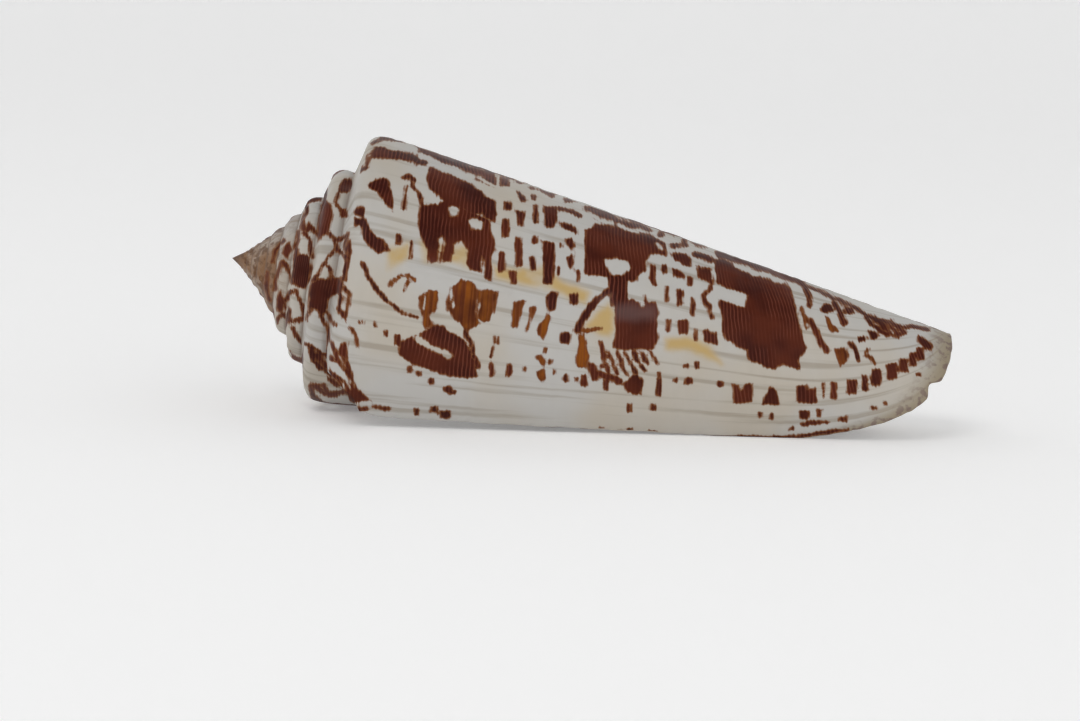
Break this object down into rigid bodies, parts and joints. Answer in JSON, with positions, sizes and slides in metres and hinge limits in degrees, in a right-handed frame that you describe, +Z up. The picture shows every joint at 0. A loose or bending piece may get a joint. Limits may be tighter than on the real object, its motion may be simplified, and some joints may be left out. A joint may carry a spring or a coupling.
{
  "type": "cone shell",
  "caption": "Right-handed cone shell lying on its aperture: stepped pointed spire, square shoulder, straight tapering sides, thin outer lip and a narrow slit mouth.",
  "frame": {"origin": "centre of the bounding box on the surface that the shell lies on", "axes": "+Z up, +X from the apex to the base, -Y to the side of the outer lip"},
  "size_m": [0.0652, 0.0268, 0.0247],
  "materials": {
    "shell": "glossy white porcelain-like shell with chocolate-brown blotches, bars and dots in spiral rows and yellow-tan stains"
  },
  "bodies": {
    "root": {"shell": "shell"}
  },
  "joints": []
}
